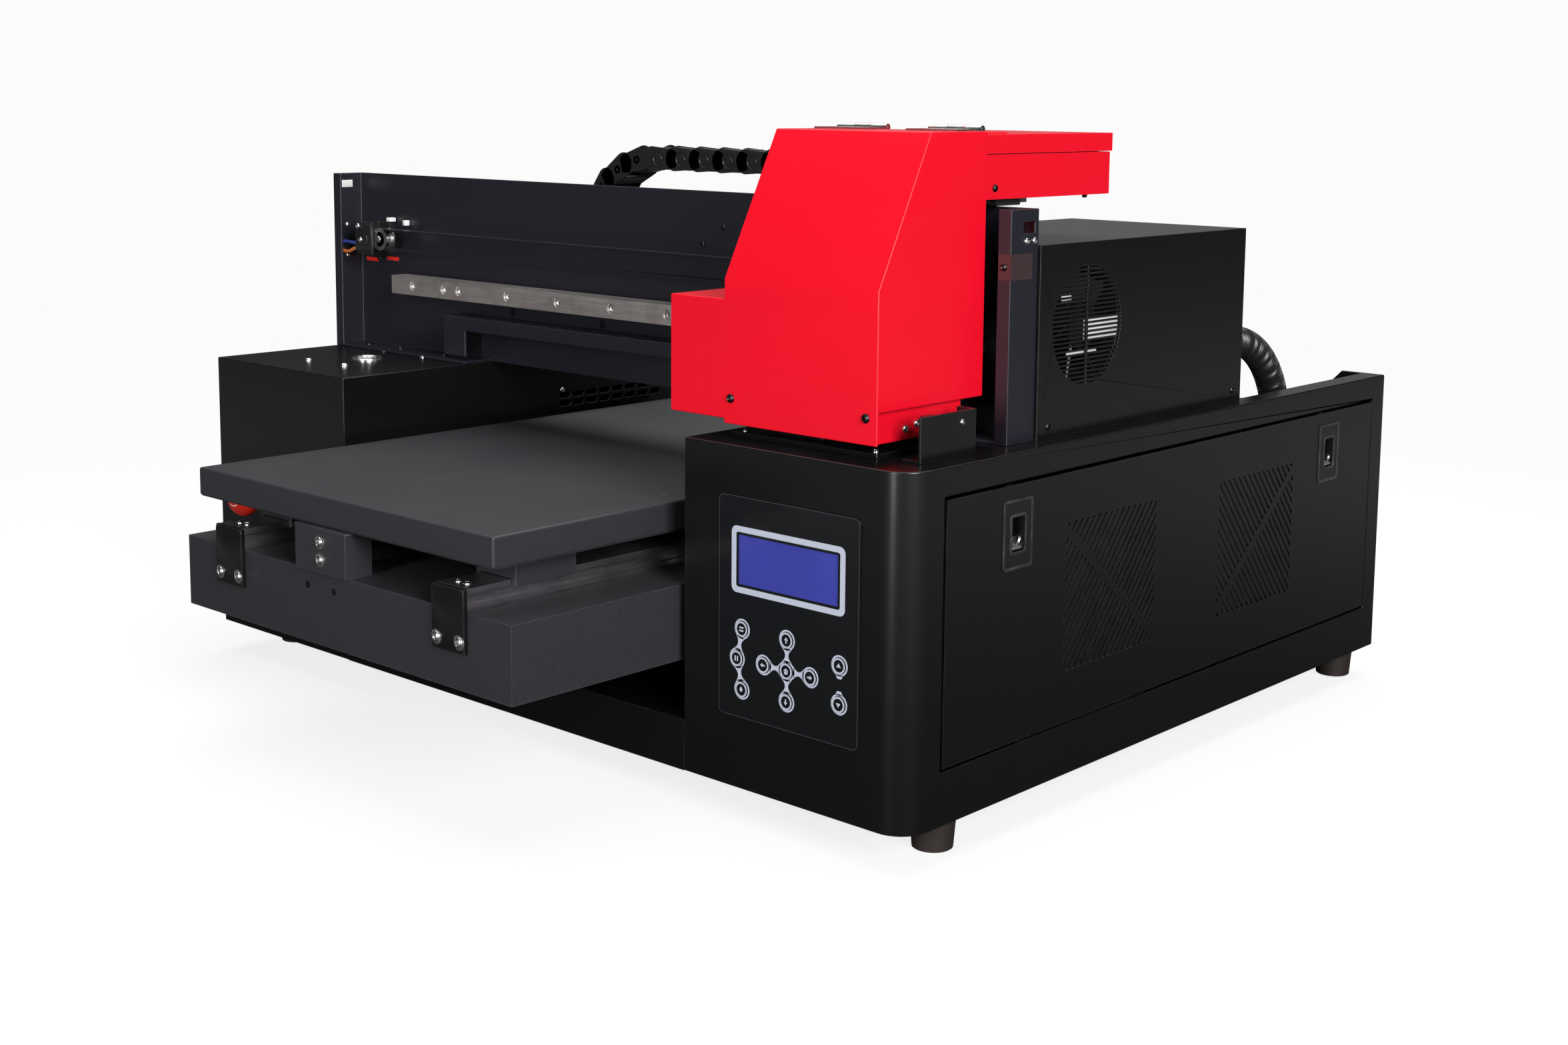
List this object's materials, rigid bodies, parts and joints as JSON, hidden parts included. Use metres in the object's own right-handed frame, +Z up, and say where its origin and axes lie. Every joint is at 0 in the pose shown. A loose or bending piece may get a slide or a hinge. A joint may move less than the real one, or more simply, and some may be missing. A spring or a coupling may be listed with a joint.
{
  "type": "flatbed uv printer",
  "caption": "Desktop flatbed inkjet printer: a covered carriage crosses a gantry over a lifting, sliding bed; keypad, display, side door and tank lid.",
  "frame": {"origin": "on the ground, under the middle of the overall width and length", "axes": "+X to the right seen from the front, +Y to the rear, +Z up"},
  "size_m": [0.725, 0.7434, 0.441],
  "materials": {
    "base_black": "satin black powder coat",
    "bed_charcoal": "fine textured charcoal powder coat",
    "gantry_navy": "fine textured blue-black powder coat",
    "cover_red": "satin red powder coat",
    "rail_steel": "ground steel",
    "bare_steel": "machined steel",
    "screw_steel": "bright nickel plate",
    "aluminium": "black anodised extrusion",
    "galvanised": "bright sheet",
    "rubber": "matt black rubber",
    "black_plastic": "matt black moulding",
    "gloss_panel": "gloss black overlay",
    "lcd_blue": "blue display behind a clear window",
    "key_grey": "grey and white print on gloss film",
    "stop_red": "gloss red moulding",
    "collar_yellow": "gloss yellow moulding",
    "ink_plastic": "milky moulding"
  },
  "bodies": {
    "frame": {"base_pan": "base_black", "left_tower": "base_black", "right_housing": "base_black", "feet": "rubber", "gantry_frame": "gantry_navy", "beam_cover": "gantry_navy", "x_rail": "rail_steel", "drive_motors": "black_plastic", "x_idler_bracket": "black_plastic", "x_belt": "rubber", "electronics_box": "base_black", "fan_frame": "black_plastic", "conduit": "black_plastic", "control_panel": "gloss_panel", "lcd_module": "lcd_blue", "stop_collar": "collar_yellow", "power_inlet": "black_plastic", "power_supply": "galvanised", "guide_rods": "bare_steel", "capping_station": "black_plastic", "stop_bracket": "base_black"},
    "bed_lift": {"bed_box": "bed_charcoal", "bed_profiles": "aluminium", "stop_plates": "base_black", "belt_block": "base_black", "y_belt": "rubber", "y_motor": "black_plastic", "bed_screws": "screw_steel"},
    "bed_slide": {"platen": "bed_charcoal", "slider_blocks": "black_plastic"},
    "lead_screw": {"lead_screw": "bare_steel"},
    "x_drive": {"x_drive_pulley": "bare_steel"},
    "x_idler": {"x_idler_pulley": "screw_steel"},
    "y_drive": {"y_drive_pulley": "bare_steel"},
    "carriage": {"carriage_plate": "black_plastic", "bearing_block": "bare_steel", "print_head": "bare_steel", "uv_lamp": "black_plastic", "carriage_cover": "cover_red", "tank_box": "cover_red", "ink_tanks": "ink_plastic", "hinge_leaves": "screw_steel", "chain_upper": "black_plastic"},
    "tank_lid": {"tank_lid": "cover_red"},
    "chain_loop": {"chain_loop": "black_plastic"},
    "fan_rotor": {"fan_rotor": "black_plastic"},
    "side_door": {"side_door": "base_black"},
    "latch_front": {"latch_front": "bare_steel"},
    "latch_rear": {"latch_rear": "bare_steel"},
    "stop_button": {"stop_button": "stop_red"},
    "key_mode": {"key_mode": "key_grey"},
    "key_pause": {"key_pause": "key_grey"},
    "key_clean": {"key_clean": "key_grey"},
    "key_in": {"key_in": "key_grey"},
    "key_left": {"key_left": "key_grey"},
    "key_home": {"key_home": "key_grey"},
    "key_right": {"key_right": "key_grey"},
    "key_out": {"key_out": "key_grey"},
    "key_up": {"key_up": "key_grey"},
    "key_down": {"key_down": "key_grey"}
  },
  "joints": [
    {"name": "carriage_travel", "type": "slide", "parent": "frame", "child": "carriage", "axis": [-1, 0, 0], "range_m": [0, 0.43]},
    {"name": "chain_roll", "type": "slide", "parent": "carriage", "child": "chain_loop", "axis": [1, 0, 0], "range_m": [0, 0.215], "deforming": ["chain_upper"]},
    {"name": "x_drive_turn", "type": "hinge", "parent": "frame", "child": "x_drive", "pos_m": [0.2905, -0.10225, 0.3365], "axis": [0, 1, 0], "range_deg": [-3065.5, 5]},
    {"name": "x_idler_turn", "type": "hinge", "parent": "frame", "child": "x_idler", "pos_m": [-0.3175, -0.10225, 0.3365], "axis": [0, 1, 0], "range_deg": [-3065.5, 5]},
    {"name": "tank_lid_hinge", "type": "hinge", "parent": "carriage", "child": "tank_lid", "pos_m": [0, -0.10745, 0.4385], "axis": [1, 0, 0], "range_deg": [0, 100]},
    {"name": "lift", "type": "slide", "parent": "frame", "child": "bed_lift", "axis": [0, 0, 1], "range_m": [-0.022, 0.04]},
    {"name": "lead_screw_turn", "type": "hinge", "parent": "frame", "child": "lead_screw", "pos_m": [0.0145, 0.07075, 0.057], "axis": [0, 0, 1], "range_deg": [-995, 1805]},
    {"name": "bed_travel", "type": "slide", "parent": "bed_lift", "child": "bed_slide", "axis": [0, 1, 0], "range_m": [0, 0.28]},
    {"name": "y_drive_turn", "type": "hinge", "parent": "bed_lift", "child": "y_drive", "pos_m": [-0.018, 0.32975, 0.153], "axis": [0, 0, 1], "range_deg": [-5, 1997.9]},
    {"name": "fan_spin", "type": "hinge", "parent": "frame", "child": "fan_rotor", "pos_m": [0.3205, -0.02925, 0.313], "axis": [1, 0, 0], "continuous": true},
    {"name": "side_door_hinge", "type": "hinge", "parent": "frame", "child": "side_door", "pos_m": [0.357, 0, 0.064], "axis": [0, 1, 0], "range_deg": [0, 90]},
    {"name": "latch_front_slide", "type": "slide", "parent": "side_door", "child": "latch_front", "axis": [0, 0, 1], "range_m": [0, 0.006]},
    {"name": "latch_rear_slide", "type": "slide", "parent": "side_door", "child": "latch_rear", "axis": [0, 0, 1], "range_m": [0, 0.006]},
    {"name": "stop_press", "type": "slide", "parent": "frame", "child": "stop_button", "axis": [0, 1, 0], "range_m": [0, 0.004], "stiffness_N_per_m": 1500},
    {"name": "key_mode_press", "type": "slide", "parent": "frame", "child": "key_mode", "axis": [0, 1, 0], "range_m": [0, 0.0007], "stiffness_N_per_m": 800},
    {"name": "key_pause_press", "type": "slide", "parent": "frame", "child": "key_pause", "axis": [0, 1, 0], "range_m": [0, 0.0007], "stiffness_N_per_m": 800},
    {"name": "key_clean_press", "type": "slide", "parent": "frame", "child": "key_clean", "axis": [0, 1, 0], "range_m": [0, 0.0007], "stiffness_N_per_m": 800},
    {"name": "key_in_press", "type": "slide", "parent": "frame", "child": "key_in", "axis": [0, 1, 0], "range_m": [0, 0.0007], "stiffness_N_per_m": 800},
    {"name": "key_left_press", "type": "slide", "parent": "frame", "child": "key_left", "axis": [0, 1, 0], "range_m": [0, 0.0007], "stiffness_N_per_m": 800},
    {"name": "key_home_press", "type": "slide", "parent": "frame", "child": "key_home", "axis": [0, 1, 0], "range_m": [0, 0.0007], "stiffness_N_per_m": 800},
    {"name": "key_right_press", "type": "slide", "parent": "frame", "child": "key_right", "axis": [0, 1, 0], "range_m": [0, 0.0007], "stiffness_N_per_m": 800},
    {"name": "key_out_press", "type": "slide", "parent": "frame", "child": "key_out", "axis": [0, 1, 0], "range_m": [0, 0.0007], "stiffness_N_per_m": 800},
    {"name": "key_up_press", "type": "slide", "parent": "frame", "child": "key_up", "axis": [0, 1, 0], "range_m": [0, 0.0007], "stiffness_N_per_m": 800},
    {"name": "key_down_press", "type": "slide", "parent": "frame", "child": "key_down", "axis": [0, 1, 0], "range_m": [0, 0.0007], "stiffness_N_per_m": 800}
  ],
  "couplings": [
    {"joint": "chain_roll", "follows": "carriage_travel", "ratio": 0.5},
    {"joint": "x_drive_turn", "follows": "carriage_travel", "rad_per_m": -124.22},
    {"joint": "x_idler_turn", "follows": "carriage_travel", "rad_per_m": -124.22},
    {"joint": "lead_screw_turn", "follows": "lift", "rad_per_m": 785.4},
    {"joint": "y_drive_turn", "follows": "bed_travel", "rad_per_m": 124.22}
  ]
}
